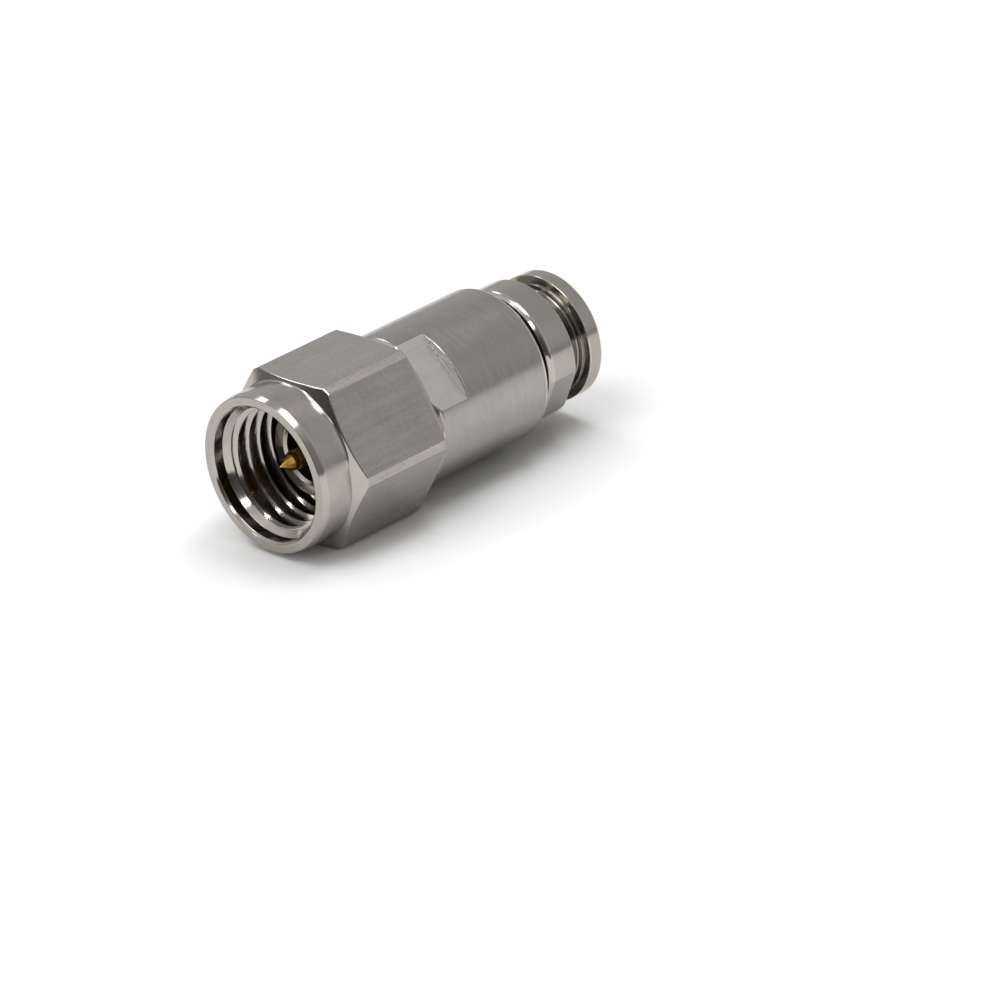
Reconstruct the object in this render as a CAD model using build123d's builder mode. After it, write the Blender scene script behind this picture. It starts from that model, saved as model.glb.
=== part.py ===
from build123d import *
import os
from math import cos, radians, tan

os.makedirs("parts", exist_ok=True)

# Frame: millimetres. X is the connector axis, x = 0 is the mating plane and the
# cable end points to +X. +Z is up: the connector lies on a flat of its hexagon.

# Coupling nut, outside
mating_recess = 2.85
nut_length = 7.43
collar_radius = 3.83
collar_length = 1.89
collar_edge_length = 0.34
collar_edge_step = 0.08
hex_width = 8.0
hex_corner_trim = 0.12
hex_cone_angle = 25.0
rear_face_step = 0.05

# Coupling nut, inside
mouth_chamfer = 0.11
mouth_depth = 0.42
mouth_step = 0.075
thread_major_radius = 3.175
thread_minor_radius = 2.82
thread_lead_in = 0.18
thread_length = 3.70
thread_relief_step = 0.03
thread_relief_length = 0.40
counterbore_radius = 3.53
counterbore_depth = 0.85

# Body shell, outside
shank_radius = 2.85
body_radius = 3.73
body_length = 7.02
shoulder_chamfer = 0.22
body_end_chamfer = 0.15
body_flat_width = 6.5
body_flat_length = 1.90
body_flat_angle = 133.7

# Air line and cable chamber in the body shell
line_radius = 1.46
line_length = 2.40
chamber_radius = 2.40
chamber_overrun = 0.15

# Retaining ring and the play that it leaves the coupling nut
ring_place = 0.76
ring_thickness = 0.40
ring_depth_in_body = 0.23
ring_depth_in_nut = 0.30
ring_gap_angle = 36.0
play_forward = 0.10
play_back = 0.20

# Outer contact and the support bead in it
outer_contact_wall = 0.69
outer_contact_length = 4.60
outer_contact_seat_step = 0.17
outer_contact_chamfer = 0.06
bead_place = 2.40
bead_length = 1.20
bead_seat_wall = 0.40

# Centre pin
pin_radius = 0.465
pin_reach = 1.77
pin_tip_radius = 0.03
pin_cone_length = 0.64
pin_cone_radius = 0.36
pin_step_length = 0.18
pin_mating_depth = 0.60
line_conductor_radius = 0.635
bead_conductor_radius = 0.36
pin_stub_length = 1.0

# Contact socket behind the bead
socket_length = 5.60
socket_bore_radius = 0.47
socket_bore_depth = 1.80
socket_slot_width = 0.14
socket_slot_length = 1.20

# Interface gasket at the foot of the outer contact
gasket_length = 0.55
gasket_edge = 0.08

# Parts in the cable chamber
insulator_length = 1.20
ferrule_flange_length = 0.50
ferrule_wall = 0.28
braid_gap = 0.17
clamp_gasket_length = 1.20
clamp_gasket_grip = 0.16
clamp_gasket_groove = 0.18
washer_length = 0.30

# Clamp nut and its seal ring
cable_bore_radius = 2.11
cable_bore_chamfer = 0.13
clamp_shank_step = 0.20
seal_ring_width = 0.42
seal_ring_height = 0.42
seal_ring_edge = 0.10
clamp_ring_radius = 3.34
clamp_ring_length = 1.79
clamp_ring_front_chamfer = 0.22
clamp_ring_rear_chamfer = 0.09
clamp_flat_width = 6.3
clamp_flat_angle = 25.6
clamp_neck_wall = 0.35
clamp_neck_length = 1.04
clamp_step_height = 0.18
clamp_step_length = 0.14
clamp_neck_round_length = 0.30
clamp_land_height = 0.26
clamp_land_length = 0.10
clamp_flange_radius = 3.12
clamp_flange_length = 0.98
clamp_flange_chamfer = 0.22

# Clearances between fitted parts
fixed_clearance = 0.01
running_clearance = 0.05
nut_clearance = 0.08
end_clearance = 0.05

# Coupling nut, derived
nut_front = -mating_recess
nut_rear = nut_front + nut_length
collar_end = nut_front + collar_length
hex_half = hex_width / 2
hex_corner_radius = hex_half / cos(radians(30)) - hex_corner_trim
rear_face_radius = hex_half - rear_face_step
cone_rate = tan(radians(hex_cone_angle))
front_cone_length = (hex_corner_radius - collar_radius) * cone_rate
rear_cone_length = (hex_corner_radius - rear_face_radius) * cone_rate
mouth_radius = thread_major_radius + mouth_step
mouth_end = nut_front + mouth_depth
thread_start = mouth_end + thread_lead_in
thread_end = thread_start + thread_length
relief_radius = thread_major_radius + thread_relief_step
relief_end = thread_end + thread_relief_length
counterbore_start = nut_rear - counterbore_depth

# Body shell, derived: it stays clear of the nut over the nut's play
shank_start = thread_end + play_back + end_clearance
neck_start = counterbore_start + play_back + end_clearance
neck_radius = counterbore_radius - nut_clearance
shoulder_start = nut_rear + play_back + 3 * end_clearance
body_end = shoulder_start + body_length
outer_contact_radius = line_radius + outer_contact_wall
outer_contact_seat_radius = outer_contact_radius + outer_contact_seat_step
contact_seat_radius = outer_contact_seat_radius + fixed_clearance
line_start = outer_contact_length
line_end = line_start + line_length

# Retaining ring and its two grooves, derived
ring_start = shank_start + ring_place
ring_end = ring_start + ring_thickness
ring_inner_radius = shank_radius - ring_depth_in_body
ring_outer_radius = shank_radius + ring_depth_in_nut
body_groove_start = ring_start - play_forward - fixed_clearance
body_groove_end = ring_end + play_back + fixed_clearance
body_groove_radius = ring_inner_radius - running_clearance
nut_bore_radius = shank_radius + nut_clearance
nut_groove_start = ring_start - fixed_clearance
nut_groove_end = ring_end + fixed_clearance
nut_groove_radius = ring_outer_radius + running_clearance

# Inner parts, derived
bead_seat_radius = outer_contact_seat_radius - bead_seat_wall
bead_end = bead_place + bead_length
stub_end = bead_end + pin_stub_length
stub_bore_radius = bead_conductor_radius + fixed_clearance
cone_end = -pin_reach + pin_cone_length
pin_full = cone_end + pin_step_length
socket_end = bead_end + socket_length
socket_bore_start = socket_end - socket_bore_depth
gasket_radius = thread_minor_radius - nut_clearance
gasket_start = shank_start - gasket_length
insulator_end = line_end + insulator_length
ferrule_flange_end = insulator_end + ferrule_flange_length
clamp_gasket_end = ferrule_flange_end + clamp_gasket_length
clamp_gasket_middle = ferrule_flange_end + clamp_gasket_length / 2
washer_end = clamp_gasket_end + washer_length
chamber_end = clamp_gasket_end + chamber_overrun
chamber_fit_radius = chamber_radius - fixed_clearance
washer_radius = chamber_radius - running_clearance
clamp_gasket_bore = cable_bore_radius - clamp_gasket_grip
ferrule_nose_radius = clamp_gasket_bore - braid_gap
ferrule_bore_radius = ferrule_nose_radius - ferrule_wall

# Clamp nut, derived
clamp_shank_radius = chamber_radius + clamp_shank_step
clamp_thread_bore = clamp_shank_radius + running_clearance
seal_ring_start = body_end + fixed_clearance
seal_ring_end = seal_ring_start + seal_ring_width
seal_ring_bore = clamp_shank_radius + fixed_clearance
seal_ring_radius = seal_ring_bore + seal_ring_height
clamp_ring_start = seal_ring_end + fixed_clearance
clamp_ring_end = clamp_ring_start + clamp_ring_length
clamp_neck_radius = cable_bore_radius + clamp_neck_wall
clamp_step_radius = clamp_neck_radius + clamp_step_height
clamp_step_end = clamp_ring_end + clamp_step_length
clamp_round_end = clamp_step_end + clamp_neck_round_length
clamp_land_start = clamp_ring_end + clamp_neck_length
clamp_land_radius = clamp_neck_radius + clamp_land_height
clamp_flange_start = clamp_land_start + clamp_land_length
clamp_end = clamp_flange_start + clamp_flange_length


# Coupling nut: a hexagon cut to a turned outline, then bored through
with BuildPart() as coupling_nut:
    with BuildSketch(Plane.YZ.offset(nut_front)):
        RegularPolygon(radius=hex_half, side_count=6, major_radius=False)
    extrude(amount=nut_length)
    with BuildSketch(Plane.XZ):
        with BuildLine():
            Polyline(
                (nut_front, 0),
                (nut_front, collar_radius - collar_edge_step),
                (nut_front + collar_edge_length, collar_radius),
                (collar_end, collar_radius),
                (collar_end + front_cone_length, hex_corner_radius),
                (nut_rear - rear_cone_length, hex_corner_radius),
                (nut_rear, rear_face_radius),
                (nut_rear, 0),
                close=True,
            )
        make_face()
    revolve(axis=Axis.X, mode=Mode.INTERSECT)
    with BuildSketch(Plane.XZ):
        with BuildLine():
            Polyline(
                (nut_front, 0),
                (nut_front, mouth_radius + mouth_chamfer),
                (nut_front + mouth_chamfer, mouth_radius),
                (mouth_end, mouth_radius),
                (thread_start, thread_minor_radius),
                (thread_end, thread_minor_radius),
                (thread_end, relief_radius),
                (relief_end, relief_radius),
                (relief_end, nut_bore_radius),
                (nut_groove_start, nut_bore_radius),
                (nut_groove_start, nut_groove_radius),
                (nut_groove_end, nut_groove_radius),
                (nut_groove_end, nut_bore_radius),
                (counterbore_start, nut_bore_radius),
                (counterbore_start, counterbore_radius),
                (nut_rear, counterbore_radius),
                (nut_rear, 0),
                close=True,
            )
        make_face()
    revolve(axis=Axis.X, mode=Mode.SUBTRACT)
coupling_nut.part.label = "coupling_nut"
export_step(coupling_nut.part, "parts/coupling_nut.step")

# Retaining ring: an open snap ring in the facing grooves of body and nut
with BuildPart() as retaining_ring:
    with BuildSketch(Plane.XZ):
        with BuildLine():
            Polyline(
                (ring_start, ring_inner_radius),
                (ring_end, ring_inner_radius),
                (ring_end, ring_outer_radius),
                (ring_start, ring_outer_radius),
                close=True,
            )
        make_face()
    revolve(axis=Axis.X, revolution_arc=360 - ring_gap_angle)
retaining_ring.part.label = "retaining_ring"
export_step(retaining_ring.part, "parts/retaining_ring.step")

# Body shell: turned outside with the ring's groove, stepped bore, two wrench flats
with BuildPart() as body_shell:
    with BuildSketch(Plane.XZ):
        with BuildLine():
            Polyline(
                (shank_start, contact_seat_radius),
                (shank_start, shank_radius),
                (body_groove_start, shank_radius),
                (body_groove_start, body_groove_radius),
                (body_groove_end, body_groove_radius),
                (body_groove_end, shank_radius),
                (neck_start, shank_radius),
                (neck_start, neck_radius),
                (shoulder_start, neck_radius),
                (shoulder_start, body_radius - shoulder_chamfer),
                (shoulder_start + shoulder_chamfer, body_radius),
                (body_end - body_end_chamfer, body_radius),
                (body_end, body_radius - body_end_chamfer),
                (body_end, clamp_thread_bore),
                (chamber_end, clamp_thread_bore),
                (chamber_end, chamber_radius),
                (line_end, chamber_radius),
                (line_end, line_radius),
                (line_start, line_radius),
                (line_start, contact_seat_radius),
                close=True,
            )
        make_face()
    revolve(axis=Axis.X)
    with BuildSketch(Plane.YZ.offset(shoulder_start)):
        Circle(2 * body_radius)
        Rectangle(
            body_flat_width,
            4 * body_radius,
            rotation=body_flat_angle,
            mode=Mode.SUBTRACT,
        )
    extrude(amount=body_flat_length, mode=Mode.SUBTRACT)
body_shell.part.label = "body_shell"
export_step(body_shell.part, "parts/body_shell.step")

# Outer contact: the mating sleeve, stepped up where it sits in the body's front bore
with BuildPart() as outer_contact:
    with BuildSketch(Plane.XZ):
        with BuildLine():
            Polyline(
                (0, line_radius + outer_contact_chamfer),
                (0, outer_contact_radius - outer_contact_chamfer),
                (outer_contact_chamfer, outer_contact_radius),
                (gasket_start, outer_contact_radius),
                (gasket_start, outer_contact_seat_radius),
                (line_start, outer_contact_seat_radius),
                (line_start, bead_seat_radius),
                (bead_place, bead_seat_radius),
                (bead_place, line_radius),
                (outer_contact_chamfer, line_radius),
                close=True,
            )
        make_face()
    revolve(axis=Axis.X)
outer_contact.part.label = "outer_contact"
export_step(outer_contact.part, "parts/outer_contact.step")

# Interface gasket: a soft ring around the sleeve, against the shank's front face
with BuildPart() as interface_gasket:
    with BuildSketch(Plane.XZ):
        with BuildLine():
            Polyline(
                (gasket_start, contact_seat_radius + gasket_edge),
                (gasket_start, gasket_radius - gasket_edge),
                (gasket_start + gasket_edge, gasket_radius),
                (shank_start, gasket_radius),
                (shank_start, contact_seat_radius),
                (gasket_start + gasket_edge, contact_seat_radius),
                close=True,
            )
        make_face()
    revolve(axis=Axis.X)
interface_gasket.part.label = "interface_gasket"
export_step(interface_gasket.part, "parts/interface_gasket.step")

# Support bead: the insulating disc that holds the centre pin
with BuildPart() as support_bead:
    with BuildSketch(Plane.YZ.offset(bead_place)):
        Circle(bead_seat_radius - fixed_clearance)
        Circle(stub_bore_radius, mode=Mode.SUBTRACT)
    extrude(amount=bead_length)
support_bead.part.label = "support_bead"
export_step(support_bead.part, "parts/support_bead.step")

# Bead bushing: keeps the bead against its seat and continues the air line
with BuildPart() as bead_bushing:
    with BuildSketch(Plane.YZ.offset(bead_end)):
        Circle(bead_seat_radius - fixed_clearance)
        Circle(line_radius, mode=Mode.SUBTRACT)
    extrude(amount=line_start - bead_end)
bead_bushing.part.label = "bead_bushing"
export_step(bead_bushing.part, "parts/bead_bushing.step")

# Centre pin: pointed tip, mating length, line section and stub through the bead
with BuildPart() as centre_pin:
    with BuildSketch(Plane.XZ):
        with BuildLine():
            Polyline(
                (-pin_reach, 0),
                (-pin_reach, pin_tip_radius),
                (cone_end, pin_cone_radius),
                (pin_full, pin_radius),
                (pin_mating_depth, pin_radius),
                (pin_mating_depth, line_conductor_radius),
                (bead_place, line_conductor_radius),
                (bead_place, bead_conductor_radius),
                (stub_end, bead_conductor_radius),
                (stub_end, 0),
                close=True,
            )
        make_face()
    revolve(axis=Axis.X)
centre_pin.part.label = "centre_pin"
export_step(centre_pin.part, "parts/centre_pin.step")

# Contact socket: holds the pin's stub in front, with slotted fingers behind
with BuildPart() as contact_socket:
    with BuildSketch(Plane.XZ):
        with BuildLine():
            Polyline(
                (bead_end, stub_bore_radius),
                (bead_end, line_conductor_radius),
                (socket_end, line_conductor_radius),
                (socket_end, socket_bore_radius),
                (socket_bore_start, socket_bore_radius),
                (socket_bore_start, 0),
                (stub_end, 0),
                (stub_end, stub_bore_radius),
                close=True,
            )
        make_face()
    revolve(axis=Axis.X)
    with BuildSketch(Plane.YZ.offset(socket_end)):
        Rectangle(socket_slot_width, 4 * line_conductor_radius)
        Rectangle(4 * line_conductor_radius, socket_slot_width)
    extrude(amount=-socket_slot_length, mode=Mode.SUBTRACT)
contact_socket.part.label = "contact_socket"
export_step(contact_socket.part, "parts/contact_socket.step")

# Rear insulator: centres the contact socket at the end of the air line
with BuildPart() as rear_insulator:
    with BuildSketch(Plane.YZ.offset(line_end)):
        Circle(chamber_fit_radius)
        Circle(line_conductor_radius + fixed_clearance, mode=Mode.SUBTRACT)
    extrude(amount=insulator_length)
rear_insulator.part.label = "rear_insulator"
export_step(rear_insulator.part, "parts/rear_insulator.step")

# Cable ferrule: a flanged tube that goes under the cable's braid
with BuildPart() as cable_ferrule:
    with BuildSketch(Plane.XZ):
        with BuildLine():
            Polyline(
                (insulator_end, ferrule_bore_radius),
                (insulator_end, chamber_fit_radius),
                (ferrule_flange_end, chamber_fit_radius),
                (ferrule_flange_end, ferrule_nose_radius),
                (clamp_gasket_end, ferrule_nose_radius),
                (clamp_gasket_end, ferrule_bore_radius),
                close=True,
            )
        make_face()
    revolve(axis=Axis.X)
cable_ferrule.part.label = "cable_ferrule"
export_step(cable_ferrule.part, "parts/cable_ferrule.step")

# Clamp gasket: a soft ring with a grooved bore that grips the cable
with BuildPart() as clamp_gasket:
    with BuildSketch(Plane.XZ):
        with BuildLine():
            Polyline(
                (ferrule_flange_end, clamp_gasket_bore),
                (ferrule_flange_end, chamber_fit_radius),
                (clamp_gasket_end, chamber_fit_radius),
                (clamp_gasket_end, clamp_gasket_bore),
                (clamp_gasket_middle, clamp_gasket_bore + clamp_gasket_groove),
                close=True,
            )
        make_face()
    revolve(axis=Axis.X)
clamp_gasket.part.label = "clamp_gasket"
export_step(clamp_gasket.part, "parts/clamp_gasket.step")

# Thrust washer: between the clamp gasket and the turning clamp nut
with BuildPart() as thrust_washer:
    with BuildSketch(Plane.YZ.offset(clamp_gasket_end)):
        Circle(washer_radius)
        Circle(cable_bore_radius, mode=Mode.SUBTRACT)
    extrude(amount=washer_length)
thrust_washer.part.label = "thrust_washer"
export_step(thrust_washer.part, "parts/thrust_washer.step")

# Seal ring: a soft ring with trimmed edges on the shank, between body and clamp nut
with BuildPart() as seal_ring:
    with BuildSketch(Plane.XZ):
        with BuildLine():
            Polyline(
                (seal_ring_start, seal_ring_bore),
                (seal_ring_start, seal_ring_radius - seal_ring_edge),
                (seal_ring_start + seal_ring_edge, seal_ring_radius),
                (seal_ring_end - seal_ring_edge, seal_ring_radius),
                (seal_ring_end, seal_ring_radius - seal_ring_edge),
                (seal_ring_end, seal_ring_bore),
                close=True,
            )
        make_face()
    revolve(axis=Axis.X)
seal_ring.part.label = "seal_ring"
export_step(seal_ring.part, "parts/seal_ring.step")

# Clamp nut: shank, ring with two flats, rounded neck, end flange, cable bore
with BuildPart() as clamp_nut:
    with BuildSketch(Plane.XZ):
        with BuildLine():
            Polyline(
                (clamp_round_end, clamp_neck_radius),
                (clamp_land_start, clamp_neck_radius),
                (clamp_land_start, clamp_land_radius),
                (clamp_flange_start, clamp_land_radius),
                (clamp_flange_start, clamp_flange_radius),
                (clamp_end - clamp_flange_chamfer, clamp_flange_radius),
                (clamp_end, clamp_flange_radius - clamp_flange_chamfer),
                (clamp_end, cable_bore_radius + cable_bore_chamfer),
                (clamp_end - cable_bore_chamfer, cable_bore_radius),
                (washer_end, cable_bore_radius),
                (washer_end, clamp_shank_radius),
                (clamp_ring_start, clamp_shank_radius),
                (clamp_ring_start, clamp_ring_radius - clamp_ring_front_chamfer),
                (clamp_ring_start + clamp_ring_front_chamfer, clamp_ring_radius),
                (clamp_ring_end - clamp_ring_rear_chamfer, clamp_ring_radius),
                (clamp_ring_end, clamp_ring_radius - clamp_ring_rear_chamfer),
                (clamp_step_end, clamp_step_radius),
            )
            TangentArc(
                (clamp_round_end, clamp_neck_radius),
                (clamp_step_end, clamp_step_radius),
                tangent=(-1, 0),
            )
        make_face()
    revolve(axis=Axis.X)
    with BuildSketch(Plane.YZ.offset(clamp_ring_start)):
        Circle(2 * clamp_ring_radius)
        Rectangle(
            clamp_flat_width,
            4 * clamp_ring_radius,
            rotation=clamp_flat_angle,
            mode=Mode.SUBTRACT,
        )
    extrude(amount=clamp_ring_length, mode=Mode.SUBTRACT)
clamp_nut.part.label = "clamp_nut"
export_step(clamp_nut.part, "parts/clamp_nut.step")
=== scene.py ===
from math import acos, ceil, cos, degrees, pi, radians, sin, tan

import bmesh
import bpy
import numpy as np
from mathutils import Matrix, Vector


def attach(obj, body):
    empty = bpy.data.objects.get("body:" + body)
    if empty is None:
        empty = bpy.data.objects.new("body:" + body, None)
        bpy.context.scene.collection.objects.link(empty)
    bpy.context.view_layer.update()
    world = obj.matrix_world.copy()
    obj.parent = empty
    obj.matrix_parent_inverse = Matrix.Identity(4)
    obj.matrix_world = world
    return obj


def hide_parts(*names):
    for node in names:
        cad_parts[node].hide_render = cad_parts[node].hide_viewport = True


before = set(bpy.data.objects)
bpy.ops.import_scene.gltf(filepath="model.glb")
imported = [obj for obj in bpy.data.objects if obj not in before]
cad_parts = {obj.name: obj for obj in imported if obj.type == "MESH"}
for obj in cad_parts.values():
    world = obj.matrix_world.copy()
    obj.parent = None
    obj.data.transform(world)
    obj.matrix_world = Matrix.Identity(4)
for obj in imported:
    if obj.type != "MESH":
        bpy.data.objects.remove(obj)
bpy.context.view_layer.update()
MM = 0.001

# Sizes in millimetres. They are those of the solids, but for what was fitted closer to the photograph:
# the thread's run-in, the hexagon's rear edge, the sleeve's mouth, the pin's point and the front edge
# of the clamp's ring. The threads and the undercut are in this script alone.

# Coupling nut
nut_front, nut_rear, collar_end = -2.85, 4.58, -0.96
collar_radius, lip_height, face_slope = 3.83, 0.34, 0.08
hex_half, hex_foot, corner_cut = 4.0, 3.88, 0.12
hex_corner = hex_half / cos(radians(30)) - corner_cut
hex_edge, collar_edge = 0.25, 0.22
cone_rate = tan(radians(25))
mouth_radius, mouth_end, mouth_chamfer = 3.25, -2.22, 0.11
thread_start, thread_end, relief_end = -1.95, 1.45, 1.85
thread_pitch, thread_shift, thread_crest = 25.4 / 36, -0.24, 0.08
thread_minor, thread_major, relief_radius = 2.82, 3.175, 3.205
flank_rate = tan(radians(30))
nut_bore, nut_groove, groove_front, groove_rear = 2.93, 3.20, 2.45, 2.87
counterbore_start, counterbore_radius = 3.73, 3.53

# Mating sleeve, the gasket at its foot, and the pin
sleeve_radius, sleeve_lead, seat_start, seat_radius, seat_end = 2.15, 0.06, 1.15, 2.32, 4.60
bead_start, bead_radius, line_bore, line_lead, sleeve_mouth = 2.40, 1.92, 1.46, 0.12, 1.60
gasket_bore, gasket_radius, gasket_chamfer = 2.33, 2.74, 0.08
pin_tip, pin_blunt, pin_cone_end, pin_cone_radius = -1.77, 0.02, -1.15, 0.395
pin_start, pin_clear, pin_radius = -0.92, -0.86, 0.465
line_start, line_radius, stub_radius = 0.60, 0.635, 0.36

# Body shell
shank_start, shank_end, shank_outer = 1.70, 3.98, 2.85
ring_groove_front, ring_groove_rear, ring_groove_radius = 2.35, 3.07, 2.57
neck_radius, shoulder_start, body_end, body_radius = 3.45, 4.93, 11.95, 3.73
body_flat, body_flat_length, body_flat_angle = 3.25, 1.90, 133.7
shoulder_bevel, body_bevel, flat_margin, flat_runout, flat_edge = 0.22, 0.15, 0.36, 0.10, 0.08
sleeve_bore, web_end, chamber_radius = 2.33, 7.0, 2.40
thread_bore, thread_bore_start = 2.65, 10.05

# Clamp nut, and the seal ring before it
clamp_flat, clamp_flat_angle, clamp_radius = 3.15, 25.6, 3.34
shank_front, shank_back, ring_front, clamp_rear, clamp_end = 10.2, 11.73, 12.45, 14.18, 16.30
shank_radius, undercut_radius, undercut_length = 2.60, 2.40, 0.08
clamp_pitch, clamp_crest, clamp_root = 0.5, 0.08, 2.36
clamp_lead, clamp_runout, runout_slope = 0.22, 0.3, 3
rim_front_bevel, rim_rear_bevel, rim_margin, rim_rear_margin = 0.16, 0.09, 0.30, 0.16
round_start, round_end, step_radius, clamp_neck = 14.32, 14.62, 2.64, 2.46
land_start, flange_start, land_radius, flange_radius = 15.22, 15.32, 2.72, 3.12
flange_edge, flange_bevel = 0.1, 0.22
cable_bore, bore_chamfer = 2.11, 0.13
seal_middle, seal_centre, seal_thick = 12.17, 2.82, 0.21

# Grids round the axis: columns of a faceted and of a plain piece, and in degrees the columns beside
# a flat's edge and the least step from one column to the next
FINE, PLAIN, BESIDE, LEAST_STEP = 480, 320, 0.12, 0.04

# Corners: steps of a rounding, its share of a short side, and a ring beyond it for even shading
ROUND_STEPS, ROUND_SHARE, BEYOND, BEYOND_SHARE = 3, 0.42, 1.5, 0.48
LEAST_BEVEL, UNDERCUT_EDGE, TINY = 0.03, 0.0001, 1e-9

# Meshes: the angle from which an edge stays sharp, and the distances in metres that close a gap
SHARP, MERGE, DISSOLVE = radians(35), 4e-8, 2e-8

# Paint of a face: its place in the piece's list of materials
TURNED, POLISHED, GROUND, INSIDE, GROOVE = range(5)
# On the pin, the two darker gilt paints carry painted shade
GILT, GILT_DULL_PAINTED_SHADE, GILT_PAINTED_SHADE = range(3)


# Each turned piece is a grid of rings, so edges that follow a cut stay sharp
def columns(count, *extra):
    """Angles round the axis in radians, with extra ones in degrees where a flat begins or ends."""
    a = set(np.round(np.arange(count) * 360.0 / count, 4))
    a |= {round(e % 360, 4) for e in extra}
    a = np.array(sorted(a))
    keep = np.append(np.diff(a), 360 - a[-1] + a[0]) > LEAST_STEP
    return np.radians(a[keep])


def flatted(sides, half, radius, direction):
    """Angles round a piece with flats, its radius at each, and 1 where the next face lies on a flat."""
    corner = degrees(acos(half / radius))
    edges = [s * (corner + e) for s in (-1, 1) for e in (-BESIDE, 0, BESIDE)]
    angles = columns(FINE, *[direction + 360 / sides * k + e for k in range(sides) for e in edges])
    turn = 2 * pi / sides
    lean = np.abs((angles - radians(direction) + turn / 2) % turn - turn / 2)
    steep = radians(80)
    cut = np.where(lean < steep, half / np.cos(np.minimum(lean, steep)), radius)
    on_flat = (np.maximum(lean, np.roll(lean, -1)) < radians(corner + 0.01)).astype(int)
    return angles, np.minimum(cut, radius), on_flat


def outline(points, count, closed=True):
    """Rings of a turned outline with its corners rounded: each point is x, radius, rounding, paint."""
    corners = np.zeros((len(points), count, 2))
    for k, (x, radius, _, _) in enumerate(points):
        corners[k, :, 0], corners[k, :, 1] = x, radius
    rings, paint = [], []
    for k, (_, _, size, colour) in enumerate(points):
        corner = corners[k]
        if not size or (not closed and k in (0, len(points) - 1)):
            rings.append(corner)
            paint.append(colour)
            continue
        back, ahead = corners[k - 1] - corner, corners[(k + 1) % len(points)] - corner
        back_length = np.linalg.norm(back, axis=1)[:, None]
        ahead_length = np.linalg.norm(ahead, axis=1)[:, None]
        back, ahead = back / np.maximum(back_length, TINY), ahead / np.maximum(ahead_length, TINY)
        cut = np.minimum(size, ROUND_SHARE * np.minimum(back_length, ahead_length))
        rings.append(corner + back * np.minimum(cut * BEYOND, BEYOND_SHARE * back_length))
        paint.append(points[k - 1][3])
        first, last = corner + back * cut, corner + ahead * cut
        for s in np.linspace(0, 1, ROUND_STEPS + 1):
            rings.append((1 - s) ** 2 * first + 2 * s * (1 - s) * corner + s * s * last)
            paint.append(colour)
        rings.append(corner + ahead * np.minimum(cut * BEYOND, BEYOND_SHARE * ahead_length))
        paint.append(colour)
    if closed:
        rings.append(rings[0])
        paint.append(paint[0])
    return np.array(rings), paint


def thread(x, angle, pitch, crest, root, flat):
    """Radius of a right-hand thread at a place along the axis and an angle."""
    d = np.abs((x / pitch - angle / (2 * pi) + 0.5) % 1 - 0.5) * pitch
    flank = abs(root - crest) * flank_rate
    s = np.clip((d - flat / 2) / flank, 0, 1)
    return crest + (root - crest) * s


def thread_rings(start, end, angles, pitch, marks, shift=0.0):
    """Places along the axis of a grid that follows the helix, one column for each angle and one more."""
    off = np.array(sorted(marks)) * pitch
    n = ceil((end - start) / pitch) + 3
    first = pitch * np.floor(start / pitch) - 2 * pitch + shift
    base = np.concatenate([first + k * pitch + off for k in range(n + 1)])
    turn = np.append(angles, angles[0] + 2 * pi) / (2 * pi) * pitch
    return np.clip(base[:, None] + turn[None, :], start, end), len(off)


class Piece:
    """Collects grids of points into one mesh object."""

    def __init__(self, name, angles):
        self.name, self.angles = name, angles
        self.points, self.faces, self.paint, self.count = [], [], [], 0

    def place(self, x, r, angles):
        p = np.stack([x, r * np.cos(angles), r * np.sin(angles)], -1) * MM
        start = self.count
        self.points.append(p.reshape(-1, 3))
        self.count += p.reshape(-1, 3).shape[0]
        return start

    def add(self, rings, paint):
        m, n = rings.shape[:2]
        start = self.place(rings[..., 0], rings[..., 1], self.angles[None, :])
        i = np.arange(n)
        for j in range(m - 1):
            a = start + j * n
            self.faces.append(np.stack([a + i, a + (i + 1) % n, a + n + (i + 1) % n, a + n + i], -1))
            self.paint.append(np.broadcast_to(paint[j], (n,)))

    def add_thread(self, x, step, radius, paint):
        """A grid on a helix, whose last column joins the first one a whole turn further on."""
        around = np.append(self.angles, self.angles[0] + 2 * pi)
        r = radius(x, around[None, :])
        m, n = x.shape[0], x.shape[1] - 1
        start = self.place(x[:, :n], r[:, :n], around[None, :n])
        i = np.arange(n)
        for j in range(m - 1):
            a, b = start + j * n + i, start + (j + 1) * n + i
            a2, b2 = a + 1, b + 1
            a2[-1] = start + min(j + step, m - 1) * n
            b2[-1] = start + min(j + 1 + step, m - 1) * n
            self.faces.append(np.stack([a, a2, b2, b], -1))
            self.paint.append(np.full(n, paint))

    def build(self, body, nodes, materials):
        mesh = bpy.data.meshes.new(self.name)
        points, faces = np.concatenate(self.points), np.concatenate(self.faces)
        mesh.from_pydata(points.tolist(), [], faces.tolist())
        paint = np.concatenate(self.paint).astype(np.int32)
        mesh.polygons.foreach_set("material_index", paint)
        bm = bmesh.new()
        bm.from_mesh(mesh)
        bmesh.ops.remove_doubles(bm, verts=bm.verts, dist=MERGE)
        bmesh.ops.dissolve_degenerate(bm, edges=bm.edges, dist=DISSOLVE)
        bmesh.ops.recalc_face_normals(bm, faces=bm.faces)
        for f in bm.faces:
            f.smooth = True
        for e in bm.edges:
            e.smooth = len(e.link_faces) != 2 or e.calc_face_angle(0.0) < SHARP
        bm.to_mesh(mesh)
        bm.free()
        obj = bpy.data.objects.new(self.name, mesh)
        bpy.context.scene.collection.objects.link(obj)
        for m in materials:
            mesh.materials.append(m)
        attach(obj, body)
        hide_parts(*nodes)


# Materials. Noise runs in rings on a face too, because the radius adds to the place along the axis.
RADIUS_RATE = 1.3


def tint(colour, factor):
    return tuple(c * factor for c in colour)


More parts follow.
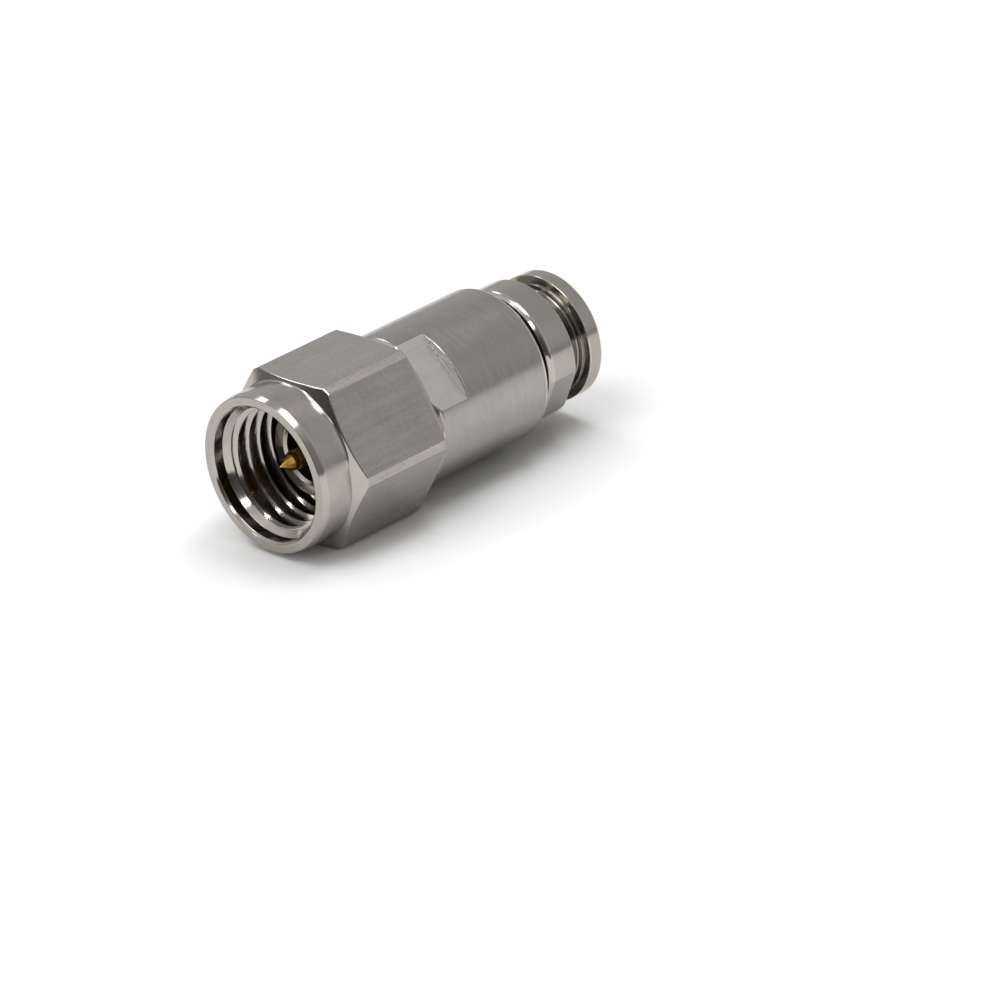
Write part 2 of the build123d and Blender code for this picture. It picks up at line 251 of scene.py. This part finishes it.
class Nodes:
    """Short calls for building the nodes of a material or of the world."""

    def __init__(self, tree):
        self.tree = tree

    def add(self, kind, settings=None, **inputs):
        node = self.tree.nodes.new(kind)
        for k, v in (settings or {}).items():
            setattr(node, k, v)
        for k, v in inputs.items():
            self.put(node.inputs[k.replace("_", " ")], v)
        return node

    def put(self, socket, value):
        if isinstance(value, bpy.types.NodeSocket):
            self.tree.links.new(value, socket)
        else:
            socket.default_value = value

    def fill(self, node, places, values):
        for place, value in zip(places, values):
            self.put(node.inputs[place], value)
        return node

    def math(self, operation, *values, clamp=False):
        node = self.add("ShaderNodeMath", {"operation": operation, "use_clamp": clamp})
        return self.fill(node, range(2), values).outputs[0]

    def times(self, a, b):
        return self.math("MULTIPLY", a, b)

    def total(self, result, *others, clamp=False):
        """Sum of values, held between 0 and 1 at the end where clamp is true."""
        for k, value in enumerate(others, 1):
            result = self.math("ADD", result, value, clamp=clamp and k == len(others))
        return result

    def swing(self, value, amount):
        """A noise's distance from its middle, times an amount."""
        return self.times(self.math("SUBTRACT", value, 0.5), amount)

    def distance(self, a, b):
        return self.math("SQRT", self.total(self.times(a, a), self.times(b, b)))

    def dot(self, a, b):
        node = self.add("ShaderNodeVectorMath", {"operation": "DOT_PRODUCT"})
        return self.fill(node, range(2), (a, b)).outputs["Value"]

    def span(self, value, low, high, new_low=0.0, new_high=1.0, ease="LINEAR"):
        """Takes a value from one range to another, and holds it within the new one."""
        node = self.add("ShaderNodeMapRange", {"clamp": True, "interpolation_type": ease}, Value=value)
        ends = ("From Min", "From Max", "To Min", "To Max")
        return self.fill(node, ends, (low, high, new_low, new_high)).outputs[0]

    def blend(self, factor, a, b):
        return self.fill(self.add("ShaderNodeMix"), (0, 2, 3), (factor, a, b)).outputs[0]


class Surface(Nodes):
    """Nodes of one material, with its object coordinates and the distance from the axis."""

    def __init__(self, name):
        self.material = bpy.data.materials.new(name)
        self.material.use_nodes = True
        super().__init__(self.material.node_tree)
        self.tree.nodes.clear()
        self.out = self.add("ShaderNodeOutputMaterial")
        self.object = self.add("ShaderNodeTexCoord").outputs["Object"]
        self.x, self.y, self.z = self.add("ShaderNodeSeparateXYZ", Vector=self.object).outputs
        self.r = self.distance(self.y, self.z)

    def vector(self, x, y, z):
        return self.add("ShaderNodeCombineXYZ", X=x, Y=y, Z=z).outputs[0]

    def drawn(self, along, across):
        """Coordinates whose noise runs in streaks along the axis."""
        return self.vector(self.times(self.x, along), self.times(self.y, across), self.times(self.z, across))

    def turned(self, across, along, lean=0.0):
        """Coordinates whose noise runs in rings round the axis, on faces and on sides alike."""
        lines = self.times(self.total(self.x, self.times(self.r, RADIUS_RATE)), across)
        if lean:
            lines = self.total(lines, self.times(self.total(self.y, self.z), lean * across))
        return self.vector(lines, self.times(self.y, along), self.times(self.z, along))

    def noise(self, vector, scale=1.0, detail=2.0, rough=0.5):
        node = self.add("ShaderNodeTexNoise", Vector=vector, Scale=scale, Detail=detail, Roughness=rough)
        return node.outputs["Fac"]

    def tones(self, factor, colour, dark, light):
        """A colour between a darker and a lighter tone of itself."""
        node = self.add("ShaderNodeMix", {"data_type": "RGBA"})
        pair = [(*tint(colour, tone), 1.0) for tone in (dark, light)]
        return self.fill(node, (0, 6, 7), (factor, *pair)).outputs[2]

    def surface(self, height, depth, **inputs):
        normal = self.add("ShaderNodeBump", Height=height, Distance=depth, Strength=1.0).outputs[0]
        shader = self.add("ShaderNodeBsdfPrincipled", Normal=normal, **inputs)
        self.put(self.out.inputs["Surface"], shader.outputs[0])
        return self.material


def turned_steel(name, colour, rough, brush=0.5, relief=0.5, fine=26000.0, lean=0.0, mottle=0.5):
    """Steel with the marks of a lathe or a brush round the axis."""
    n = Surface(name)
    fine_lines = n.noise(n.turned(fine, 1500.0, lean), rough=0.6)
    broad_lines = n.noise(n.turned(fine / 3, 700.0, lean * 1.6))
    scratches = n.span(n.noise(n.turned(fine / 1.6, 1100.0, lean * 2.5), detail=1.0), 0.66, 0.74)
    stains = n.noise(n.object, scale=1500.0, detail=4.0, rough=0.6)
    lines = n.total(n.times(fine_lines, 0.6), n.times(broad_lines, 0.4))
    marks = n.times(scratches, 0.12 * brush)
    shade = n.total(n.swing(lines, 1.3 * brush), n.swing(stains, 0.6 * mottle), 0.5, marks, clamp=True)
    gloss = n.total(rough, n.swing(lines, 0.22 * brush), n.swing(stains, 0.10 * mottle), clamp=True)
    height = n.total(fine_lines, n.times(scratches, -0.3))
    base = n.tones(shade, colour, 0.74, 1.26)
    return n.surface(height, 0.0000035 * relief, Base_Color=base, Metallic=1.0, Roughness=gloss)


def ground_steel(name, colour, rough, streak=0.5, grain=0.5):
    """Steel of a drawn and ground bar: streaks along the axis, and a fine mottled grain."""
    n = Surface(name)
    streaks = n.noise(n.drawn(260.0, 9000.0), detail=3.0, rough=0.6)
    broad = n.noise(n.drawn(90.0, 1700.0))
    grains = n.noise(n.drawn(5200.0, 11000.0), detail=4.0, rough=0.65)
    stains = n.noise(n.object, scale=620.0, detail=4.0, rough=0.6)
    nicks = n.span(n.noise(n.drawn(2300.0, 14000.0), detail=1.0), 0.70, 0.78)
    bars = n.total(n.swing(streaks, 0.9 * streak), n.swing(broad, 0.9 * streak))
    shade = n.total(bars, n.swing(grains, 1.1 * grain), n.swing(stains, 0.45), 0.5, clamp=True)
    gloss = n.total(rough, n.swing(grains, 0.25 * grain), clamp=True)
    height = n.total(n.times(streaks, streak), n.times(nicks, -0.2), n.times(grains, grain))
    base = n.tones(shade, colour, 0.72, 1.28)
    return n.surface(height, 0.000004, Base_Color=base, Metallic=1.0, Roughness=gloss)


def gilt(name, colour, rough, relief=1.0):
    """Gilt contact: gold over fine turning marks, a little uneven in tone."""
    n = Surface(name)
    lines = n.noise(n.turned(30000.0, 300.0), detail=3.0)
    tone = n.noise(n.object, scale=1300.0, detail=3.0)
    shade = n.span(n.total(n.times(lines, 0.5), n.times(tone, 0.5)), 0.3, 0.7)
    gloss = n.total(rough, n.swing(lines, 0.2 * relief), clamp=True)
    base = n.tones(shade, colour, 0.8, 1.15)
    return n.surface(lines, 0.000003 * relief, Base_Color=base, Metallic=1.0, Roughness=gloss)


def soft(name, colour, rough):
    """Rubber or plastic: a fine grain and a faint unevenness of tone."""
    n = Surface(name)
    grain = n.noise(n.object, scale=9000.0, detail=4.0, rough=0.6)
    tone = n.noise(n.object, scale=1000.0, detail=3.0)
    rings = n.noise(n.turned(14000.0, 220.0))
    shade = n.span(n.total(n.times(grain, 0.5), n.times(tone, 0.5)), 0.3, 0.7)
    gloss = n.total(rough, n.swing(tone, 0.2), clamp=True)
    height = n.total(grain, n.times(rings, 0.6))
    base = n.tones(shade, colour, 0.75, 1.25)
    return n.surface(height, 0.000004, Base_Color=base, Roughness=gloss)


steel = (0.385, 0.359, 0.326)
brushed = (0.372, 0.351, 0.327)
# Painted light: the body's wrench flats are a much lighter steel, for the bright light they catch
flat_painted_light = (0.60, 0.585, 0.562)
# Painted shade: the clamp's neck groove is a darker, olive steel for the shade in the groove
groove_painted_shade = (0.33, 0.313, 0.275)
# Painted shade: the clamp's cable bore is steel coloured dark brown for the shade inside it
bore_painted_shade_brown = (0.22, 0.17, 0.12)
nut_turned = turned_steel("nut_turned", tint(steel, 1.07), 0.22, brush=0.45, mottle=0.9)
# Partly painted highlight: the nut's polished cones and edges are smoother and in a lighter steel that
# brightens their highlights
nut_polished_painted_highlight = turned_steel("nut_polished_painted_highlight", tint(steel, 1.22), 0.14, brush=0.2, relief=0.2)
nut_ground = ground_steel("nut_ground", tint(steel, 1.07), 0.31, streak=0.6, grain=0.85)
# Partly painted light: the mouth's thread is a smoother and lighter steel, lifting the threads in the shade
# of the mouth
nut_thread_painted_light = turned_steel("nut_thread_painted_light", tint(steel, 1.25), 0.13, brush=0.8, relief=0.9)
body_brushed = turned_steel("body_brushed", brushed, 0.24, brush=0.7, relief=0.55, fine=27000.0, lean=0.05)
# Partly painted highlight: the body's bevels and the flats' end walls are smoother and in a much lighter
# steel that brightens their edge highlights
body_polished_painted_highlight = turned_steel("body_polished_painted_highlight", tint(steel, 1.45), 0.12, brush=0.2, relief=0.1)
body_ground_painted_light = ground_steel("body_ground_painted_light", flat_painted_light, 0.33, streak=0.25, grain=0.3)
clamp_turned = turned_steel("clamp_turned", tint(steel, 1.05), 0.16, brush=0.3, relief=0.35, mottle=0.4)
# Partly painted highlight: the clamp's chamfers and land are smoother and in a lighter steel that brightens
# their highlights
clamp_polished_painted_highlight = turned_steel("clamp_polished_painted_highlight", tint(steel, 1.3), 0.10, brush=0.2, relief=0.2)
clamp_groove_painted_shade = turned_steel("clamp_groove_painted_shade", groove_painted_shade, 0.12, brush=0.2, relief=0.2, mottle=0.3)
# Painted shade: the clamp's flats are a darker steel, for the shaded floor the lower flat reflects
clamp_ground_painted_shade = ground_steel("clamp_ground_painted_shade", tint(steel, 0.82), 0.22, streak=0.2, grain=0.3)
bore_steel_painted_shade = turned_steel("bore_steel_painted_shade", bore_painted_shade_brown, 0.30, brush=0.8, relief=1.2, fine=9000.0)
contact_steel = turned_steel("contact_steel", tint(steel, 1.1), 0.18, brush=0.3, relief=0.3)
gold = gilt("gold", (0.93, 0.60, 0.15), 0.09, relief=0.25)
# Partly painted shade: the pin's taper band is a rougher gold, and its darker tone stands in for the dark
# bore it reflects
gold_dull_painted_shade = gilt("gold_dull_painted_shade", (0.45, 0.25, 0.04), 0.28, relief=0.5)
# Painted shade: the pin's shank behind its cone is gold darkened to near black, for the dark sleeve it
# reflects
gold_painted_shade = gilt("gold_painted_shade", (0.22, 0.12, 0.022), 0.35, relief=0.5)
gold_brass = gilt("gold_brass", (0.80, 0.60, 0.27), 0.26)
spring_alloy = gilt("spring_bronze", (0.62, 0.42, 0.24), 0.30)
gasket_rubber = soft("gasket_rubber", (0.022, 0.021, 0.02), 0.55)
clamp_rubber = soft("clamp_rubber", (0.16, 0.07, 0.045), 0.6)
bead_plastic = soft("bead_plastic", (0.05, 0.043, 0.035), 0.45)
white_plastic = soft("white_plastic", (0.82, 0.81, 0.78), 0.5)

# Inner pieces stay as their solids, with their own finish
for node, material in {
    "retaining_ring": spring_alloy,
    "support_bead": bead_plastic,
    "bead_bushing": contact_steel,
    "contact_socket": gold,
    "rear_insulator": white_plastic,
    "cable_ferrule": gold_brass,
    "clamp_gasket": clamp_rubber,
    "thrust_washer": contact_steel,
}.items():
    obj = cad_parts[node]
    obj.data.materials.clear()
    obj.data.materials.append(material)


# Pieces with flats and threads
def coupling_thread(x, a):
    return thread(x - thread_shift, a, thread_pitch, thread_minor, thread_major, thread_crest)


def coupling_nut():
    """Hexagon with turned cones, collar, threaded mouth, grooved and stepped bore."""
    angles, top, _ = flatted(6, hex_half, hex_corner, 90)
    cone_front = collar_end + (top - collar_radius) * cone_rate
    cone_back = nut_rear - (top - hex_foot) * cone_rate
    nut = Piece("coupling_nut_fine", angles)
    nut.add(*outline([
        (thread_end, coupling_thread(thread_end, angles), 0, INSIDE),
        (thread_end, relief_radius, 0, TURNED),
        (relief_end, relief_radius, 0, TURNED),
        (relief_end, nut_bore, 0, TURNED),
        (groove_front, nut_bore, 0, TURNED),
        (groove_front, nut_groove, 0, TURNED),
        (groove_rear, nut_groove, 0, TURNED),
        (groove_rear, nut_bore, 0, TURNED),
        (counterbore_start, nut_bore, 0, TURNED),
        (counterbore_start, counterbore_radius, 0, TURNED),
        (nut_rear, counterbore_radius, 0.03, TURNED),
        (nut_rear, hex_foot, 0.03, POLISHED),
        (cone_back, top, 0.07, POLISHED),
        (nut_rear - hex_edge, top, 0, GROUND),
        (cone_front, top, 0.045, POLISHED),
        (collar_end, collar_radius, 0.075, POLISHED),
        (collar_end - collar_edge, collar_radius, 0, TURNED),
        (nut_front + lip_height, collar_radius, 0.06, POLISHED),
        (nut_front, collar_radius - face_slope, 0.035, TURNED),
        (nut_front, mouth_radius + mouth_chamfer, 0.02, POLISHED),
        (nut_front + mouth_chamfer, mouth_radius, 0.02, POLISHED),
        (mouth_end, mouth_radius, 0.01, INSIDE),
        (thread_start, mouth_radius - (thread_start - mouth_end), 0, INSIDE),
        (thread_start, coupling_thread(thread_start, angles), 0, INSIDE),
    ], len(angles), closed=False))
    half = thread_crest / 2 / thread_pitch
    foot = half + (thread_major - thread_minor) * flank_rate / thread_pitch
    marks = [s * m for m in np.linspace(half, foot, 10) for s in (-1, 1)] + [-0.5, -0.42, 0.42]
    x, step = thread_rings(thread_start, thread_end, angles, thread_pitch, marks, thread_shift)
    nut.add_thread(x, step, coupling_thread, INSIDE)
    steels = [nut_turned, nut_polished_painted_highlight, nut_ground, nut_thread_painted_light]
    nut.build("coupling", ["coupling_nut"], steels)


def body_shell():
    """Shank with the snap ring's groove, neck, brushed barrel with two flats, stepped bore."""
    angles, side, on_flat = flatted(2, body_flat, body_radius, body_flat_angle + 180)
    bevel = np.clip(side - (body_radius - shoulder_bevel), LEAST_BEVEL, shoulder_bevel)
    flat_end = shoulder_start + body_flat_length
    wall_foot = 0.8 * side + 0.2 * body_radius
    body = Piece("body_shell_fine", angles)
    body.add(*outline([
        (shank_start, sleeve_bore, 0, TURNED),
        (shank_start, shank_outer, 0.03, TURNED),
        (ring_groove_front, shank_outer, 0.02, TURNED),
        (ring_groove_front, ring_groove_radius, 0, TURNED),
        (ring_groove_rear, ring_groove_radius, 0, TURNED),
        (ring_groove_rear, shank_outer, 0.02, TURNED),
        (shank_end, shank_outer, 0, TURNED),
        (shank_end, neck_radius, 0.03, TURNED),
        (shoulder_start, neck_radius, 0, POLISHED),
        (shoulder_start, side - bevel, 0.02, POLISHED),
        # The flats take ground steel with painted light
        (shoulder_start + bevel, side, 0.08, GROUND * on_flat),
        (shoulder_start + flat_margin, side, 0, GROUND * on_flat),
        (flat_end - flat_runout, side, 0, GROUND * on_flat),
        (flat_end, side, flat_runout, POLISHED * on_flat),
        (flat_end, wall_foot, 0, GROUND * on_flat),
        (flat_end, body_radius, 0.045, POLISHED * on_flat),
        (flat_end + flat_edge, body_radius, 0, TURNED),
        (body_end - body_bevel, body_radius, 0.09, POLISHED),
        (body_end, body_radius - body_bevel, 0.03, TURNED),
        (body_end, thread_bore, 0.03, TURNED),
        (thread_bore_start, thread_bore, 0, TURNED),
        (thread_bore_start, chamber_radius, 0, TURNED),
        (web_end, chamber_radius, 0, TURNED),
        (web_end, line_bore, 0.02, TURNED),
        (seat_end, line_bore, 0, TURNED),
        (seat_end, sleeve_bore, 0, TURNED),
    ], len(angles)))
    body.build("body", ["body_shell"], [body_brushed, body_polished_painted_highlight, body_ground_painted_light])


def clamp_thread(x, a):
    """The clamp's thread, with a lead-in, a run-out and an undercut at its end."""
    helix = thread(x, a, clamp_pitch, shank_radius, clamp_root, clamp_crest)
    lead_in = shank_radius - clamp_lead + (x - shank_front)
    run_out = shank_radius - clamp_runout + np.abs(shank_back - x) * runout_slope
    cut = np.minimum(helix, np.maximum(np.minimum(lead_in, run_out), clamp_root))
    return np.where(x > shank_back - UNDERCUT_EDGE, undercut_radius, cut)


def clamp_nut():
    """Threaded shank, ring with two flats, rounded neck, flange, cable bore."""
    angles, rim, on_flat = flatted(2, clamp_flat, clamp_radius, clamp_flat_angle)
    front_bevel = np.clip(rim - (clamp_radius - rim_front_bevel), LEAST_BEVEL, rim_front_bevel)
    rear_bevel = np.clip(rim - (clamp_radius - rim_rear_bevel), LEAST_BEVEL, rim_rear_bevel)
    reach, drop = round_end - round_start, step_radius - clamp_neck
    curve = np.linspace(0, pi / 2, 9)
    clamp = Piece("clamp_nut_fine", angles)
    clamp.add(*outline([
        (shank_back, undercut_radius, 0, TURNED),
        (shank_back + undercut_length, undercut_radius, 0, TURNED),
        (shank_back + undercut_length, shank_radius, 0.02, TURNED),
        (ring_front, shank_radius, 0, TURNED),
        (ring_front, rim - front_bevel, 0.02, POLISHED),
        (ring_front + front_bevel, rim, 0.09, POLISHED),
        (ring_front + rim_margin, rim, 0, GROUND * on_flat),
        (clamp_rear - rim_rear_margin, rim, 0, GROUND * on_flat),
        (clamp_rear - rear_bevel, rim, 0.02, POLISHED),
        # The neck groove takes steel with painted shade
        (clamp_rear, rim - rear_bevel, 0.02, GROOVE),
        *[(round_end - reach * cos(s), clamp_neck + drop * (1 - sin(s)), 0, GROOVE) for s in curve],
        (land_start, clamp_neck, 0.09, GROOVE),
        (land_start, land_radius, 0.025, POLISHED),
        (flange_start, land_radius, 0.03, GROOVE),
        (flange_start, flange_radius, 0.05, POLISHED),
        (flange_start + flange_edge, flange_radius, 0, TURNED),
        (clamp_end - flange_bevel, flange_radius, 0.05, POLISHED),
        (clamp_end, flange_radius - flange_bevel, 0.03, TURNED),
        (clamp_end, cable_bore + bore_chamfer, 0.03, POLISHED),
        # The cable bore takes steel with painted shade
        (clamp_end - bore_chamfer, cable_bore, 0.03, INSIDE),
        (shank_front, cable_bore, 0.02, TURNED),
        (shank_front, clamp_thread(shank_front, angles), 0, TURNED),
    ], len(angles), closed=False))
    marks = [s * m for m in (0.08, 0.18, 0.30, 0.42) for s in (-1, 1)] + [-0.5, 0.0]
    x, step = thread_rings(shank_front, shank_back, angles, clamp_pitch, marks)
    clamp.add_thread(x, step, clamp_thread, TURNED)
    steels = [clamp_turned, clamp_polished_painted_highlight, clamp_ground_painted_shade, bore_steel_painted_shade, clamp_groove_painted_shade]
    clamp.build("clamp", ["clamp_nut"], steels)


def plain_piece(node, body, materials, points, closed=True):
    """A turned piece without flats or thread."""
    piece = Piece(node + "_fine", columns(PLAIN))
    piece.add(*outline(points, len(piece.angles), closed))
    piece.build(body, [node], materials)


coupling_nut()
body_shell()
clamp_nut()
plain_piece("outer_contact", "body", [contact_steel], [
    (0, sleeve_mouth, 0.02, TURNED),
    (0, sleeve_radius - sleeve_lead, 0.02, TURNED),
    (sleeve_lead, sleeve_radius, 0.02, TURNED),
    (seat_start, sleeve_radius, 0, TURNED),
    (seat_start, seat_radius, 0.02, TURNED),
    (seat_end, seat_radius, 0, TURNED),
    (seat_end, bead_radius, 0, TURNED),
    (bead_start, bead_radius, 0, TURNED),
    (bead_start, line_bore, 0, TURNED),
    (line_lead, line_bore, 0.02, TURNED),
])
plain_piece("centre_pin", "body", [gold, gold_dull_painted_shade, gold_painted_shade], [
    (pin_tip, 0, 0, GILT),
    (pin_tip, pin_blunt, 0.012, GILT),
    # The taper band: rougher gold, darkened with painted shade
    (pin_cone_end, pin_cone_radius, 0.012, GILT_DULL_PAINTED_SHADE),
    (pin_start, pin_radius, 0.02, GILT_DULL_PAINTED_SHADE),
    # From here the shank is gold with painted shade
    (pin_clear, pin_radius, 0, GILT_PAINTED_SHADE),
    (line_start, pin_radius, 0, GILT),
    (line_start, line_radius, 0.03, GILT),
    (bead_start, line_radius, 0.02, GILT),
    (bead_start, stub_radius, 0, GILT),
    (seat_end, stub_radius, 0.02, GILT),
    (seat_end, 0, 0, GILT),
], closed=False)
plain_piece("interface_gasket", "body", [gasket_rubber], [
    (seat_start, gasket_bore + gasket_chamfer, 0.03, TURNED),
    (seat_start, gasket_radius - gasket_chamfer, 0.03, TURNED),
    (seat_start + gasket_chamfer, gasket_radius, 0.03, TURNED),
    (shank_start, gasket_radius, 0.03, TURNED),
    (shank_start, gasket_bore, 0.02, TURNED),
    (seat_start + gasket_chamfer, gasket_bore, 0.02, TURNED),
])
plain_piece("seal_ring", "clamp", [gasket_rubber], [
    (seal_middle + seal_thick * cos(s), seal_centre + seal_thick * sin(s), 0, TURNED)
    for s in np.linspace(0, 2 * pi, 24, endpoint=False)
])

# Floor: pale paper that shows as white away from the object and keeps its dark contact shadow. Its glow is
# painted light: none near the axis and full a few millimetres out, so it lightens the outer part of the
# shadow; glossy rays see half of it
floor_half, middle_x = 3.0, 0.007
painted_glow_start, painted_glow_full, painted_glow_strength, painted_glow_stretch = 0.0035, 0.0085, 0.18, 0.45
floor_mesh = bpy.data.meshes.new("floor")
sheet = [(x * floor_half, y * floor_half, -hex_half * MM) for x, y in ((-1, -1), (1, -1), (1, 1), (-1, 1))]
floor_mesh.from_pydata(sheet, [], [(0, 1, 2, 3)])
floor = bpy.data.objects.new("floor", floor_mesh)
bpy.context.scene.collection.objects.link(floor)
n = Surface("floor_white")
path = n.add("ShaderNodeLightPath").outputs
direct = n.math("MAXIMUM", path["Is Camera Ray"], path["Is Transmission Ray"])
seen = n.math("MAXIMUM", direct, n.times(path["Is Glossy Ray"], 0.5))
paper = n.tones(n.noise(n.object, scale=60.0), (1.0, 1.0, 1.0), 0.855, 0.865)
diffuse = n.add("ShaderNodeBsdfDiffuse", Color=paper)
away = n.distance(n.times(n.math("SUBTRACT", n.x, middle_x), painted_glow_stretch), n.y)
# Painted light: glow that grows with the distance from the object, lightening the outer shadow
painted_glow = n.times(seen, n.span(away, painted_glow_start, painted_glow_full, 0.0, painted_glow_strength))
emission = n.add("ShaderNodeEmission", Color=(1.0, 1.0, 1.0, 1.0), Strength=painted_glow)
both = n.fill(n.add("ShaderNodeAddShader"), range(2), (diffuse.outputs[0], emission.outputs[0]))
n.put(n.out.inputs["Surface"], both.outputs[0])
floor_mesh.materials.append(n.material)


# Lights
def toward(azimuth, elevation):
    """Direction of an azimuth from +X and an elevation, in degrees."""
    a, e = radians(azimuth), radians(elevation)
    return Vector((cos(a) * cos(e), sin(a) * cos(e), sin(e)))


light_distance = 0.6
for name, azimuth, elevation, wide, tall, radiance in (
    ("back_box", 78, 49, 0.27, 0.11, 5.2),
    ("top_box", -15, 73, 0.25, 0.17, 4.8),
    ("front_box", 176, 62, 0.30, 0.20, 4.1),
    ("low_box", -158, 35, 0.10, 0.09, 5.0),
    ("over_box", -80, 77, 0.26, 0.20, 3.0),
    ("mouth_lamp", 154, 25, 0.045, 0.045, 22.0),
):
    light = bpy.data.lights.new(name, "AREA")
    light.shape, light.size, light.size_y = "RECTANGLE", wide, tall
    light.energy = radiance * pi * wide * tall
    obj = bpy.data.objects.new(name, light)
    obj.location = Vector((middle_x, 0, 0)) + toward(azimuth, elevation) * light_distance
    obj.rotation_euler = toward(azimuth, elevation).to_track_quat("Z", "Y").to_euler()
    bpy.context.scene.collection.objects.link(obj)

# World: a grey studio, a little darker overhead, at the horizon and on the near side. Beyond the
# mating end it is dark low down and bright above, with a darker patch straight before the mouth.
world = bpy.data.worlds.new("studio")
bpy.context.scene.world = world
world.use_nodes = True
w = Nodes(world.node_tree)
way = w.add("ShaderNodeTexCoord").outputs["Generated"]
way_x, _, way_z = w.add("ShaderNodeSeparateXYZ", Vector=way).outputs


def rise(start, end, low, high):
    """Strength that goes from one value to another between two elevations in degrees."""
    return w.span(way_z, sin(radians(start)), sin(radians(end)), low, high, "SMOOTHSTEP")


sky = rise(22, 48, 0.62, 0.55)
front = rise(16, 42, 0.19, 0.85)
horizon = rise(0, 12, 0.66, 1.0)
rearward = w.span(way_x, -0.80, 0.20, ease="SMOOTHSTEP")
before_mouth = w.dot(way, toward(168, 5))
patch = w.span(before_mouth, cos(radians(27)), cos(radians(13)), 1.0, 0.50, "SMOOTHSTEP")
near = w.span(w.dot(way, (-0.5, -0.866, 0.0)), 0.25, 0.70, 1.0, 0.45, "SMOOTHSTEP")
strength = w.times(w.blend(rearward, front, sky), w.times(w.times(patch, near), horizon))
lit = w.tree.nodes["Background"]
lit.inputs["Color"].default_value = (1.0, 1.0, 1.0, 1.0)
w.put(lit.inputs["Strength"], strength)

# Camera, at the photograph's angle, with its slight roll
azimuth, elevation, roll = radians(-44.129), radians(25.246), radians(4.602)
camera_distance, focal_length = 0.32030, 252.0
aim = Vector((0.007988, -0.003932, -0.004379))
back = Vector((sin(azimuth) * cos(elevation), -cos(azimuth) * cos(elevation), sin(elevation)))
level = Vector((0, 0, 1)).cross(back).normalized()
upright = back.cross(level)
right = level * cos(roll) - upright * sin(roll)
up = level * sin(roll) + upright * cos(roll)
lens = bpy.data.cameras.new("camera")
lens.lens, lens.sensor_width, lens.clip_start, lens.clip_end = focal_length, 36.0, 0.01, 20.0
camera = bpy.data.objects.new("camera", lens)
place = Matrix.Translation(aim + back * camera_distance)
camera.matrix_world = place @ Matrix((right, up, back)).transposed().to_4x4()
bpy.context.scene.collection.objects.link(camera)
bpy.context.scene.camera = camera
bpy.context.scene.view_settings.view_transform = "Standard"
